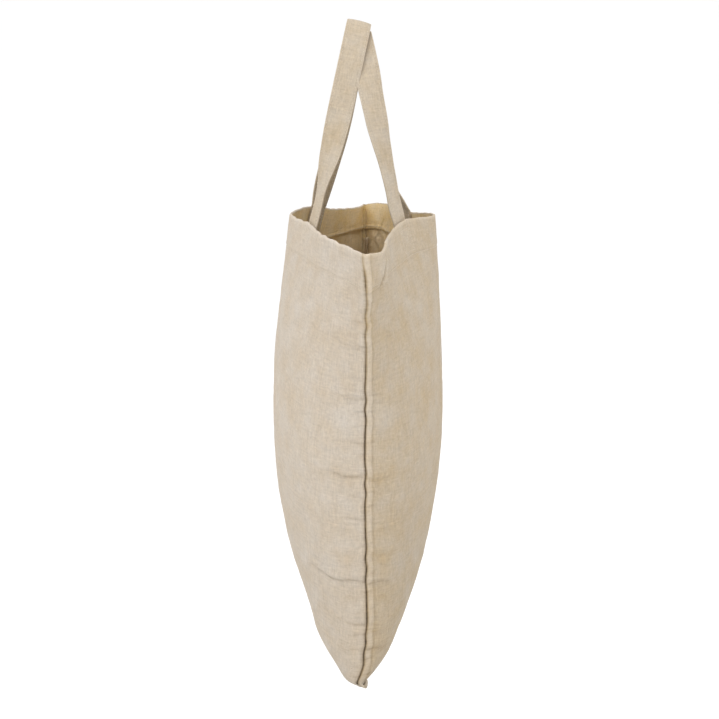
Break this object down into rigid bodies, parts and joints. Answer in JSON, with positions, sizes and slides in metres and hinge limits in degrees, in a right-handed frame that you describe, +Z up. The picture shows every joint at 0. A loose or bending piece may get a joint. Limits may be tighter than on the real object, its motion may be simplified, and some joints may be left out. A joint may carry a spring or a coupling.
{
  "type": "canvas tote bag",
  "caption": "Open canvas tote bag with a full belly, pointed bottom corners, a turned hem and strap handles that lean together over the mouth.",
  "frame": {"origin": "under the apex of the handles, where the bag hangs from a hook or a hand", "axes": "+Z up, +X across the bag from its left side seam to its right one, front panel towards -Y"},
  "size_m": [0.372, 0.1743, 0.6268],
  "materials": {
    "calico": "matt natural cotton, plain weave",
    "calico_back": "matt natural cotton, plain weave",
    "lining": "matt natural cotton, wrong side",
    "seam": "matt cotton allowances, overlocked",
    "strap": "matt folded cotton strap",
    "thread": "cream sewing thread"
  },
  "bodies": {
    "bag": {"front_panel": "calico", "back_panel": "calico_back", "front_hem": "lining", "back_hem": "lining", "left_side_seam": "seam", "right_side_seam": "seam", "bottom_seam": "seam", "front_hem_stitching": "thread", "back_hem_stitching": "thread", "front_left_strap_end": "strap", "front_right_strap_end": "strap", "back_left_strap_end": "strap", "back_right_strap_end": "strap", "front_left_box_stitch": "thread", "front_right_box_stitch": "thread", "back_left_box_stitch": "thread", "back_right_box_stitch": "thread"},
    "front_handle": {"front_handle": "strap", "front_handle_stitching": "thread"},
    "back_handle": {"back_handle": "strap", "back_handle_stitching": "thread"}
  },
  "joints": [
    {"name": "front_handle_swing", "type": "hinge", "parent": "bag", "child": "front_handle", "pos_m": [0, -0.058, -0.1735], "axis": [1, 0, 0], "range_deg": [0, 178]},
    {"name": "back_handle_swing", "type": "hinge", "parent": "bag", "child": "back_handle", "pos_m": [0, 0.056, -0.1735], "axis": [-1, 0, 0], "range_deg": [0, 178]}
  ]
}
